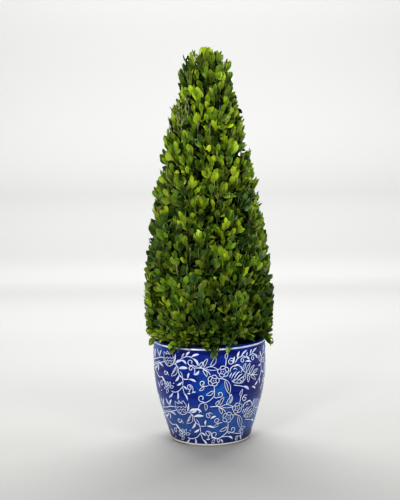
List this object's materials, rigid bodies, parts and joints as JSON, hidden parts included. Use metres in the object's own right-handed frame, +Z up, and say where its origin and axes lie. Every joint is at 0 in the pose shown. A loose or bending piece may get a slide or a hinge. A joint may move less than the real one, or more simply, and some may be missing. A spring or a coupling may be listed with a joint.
{
  "type": "boxwood cone topiary in a glazed pot",
  "caption": "Clipped cone of small boxwood leaves on a central stem, growing in soil in a round blue-and-white glazed pot that stands on its flat underside.",
  "frame": {"origin": "centre of the pot's flat underside, where it stands on a surface", "axes": "+Z up along the pot's axis and the stem; X and Y are level, and +Y points away from the side taken as the front"},
  "size_m": [0.2069, 0.2079, 0.61],
  "materials": {
    "glazed_pot": "glossy cobalt-blue glaze with raised white floral line work",
    "soil": "dark, dry potting mix",
    "bark": "grey-brown bark",
    "foliage": "satin green leaves, lighter and darker by the sprig"
  },
  "bodies": {
    "root": {"pot": "glazed_pot", "soil": "soil", "stem": "bark", "foliage_skirt": "foliage", "foliage_lower": "foliage", "foliage_upper": "foliage", "foliage_tip": "foliage"}
  },
  "joints": []
}
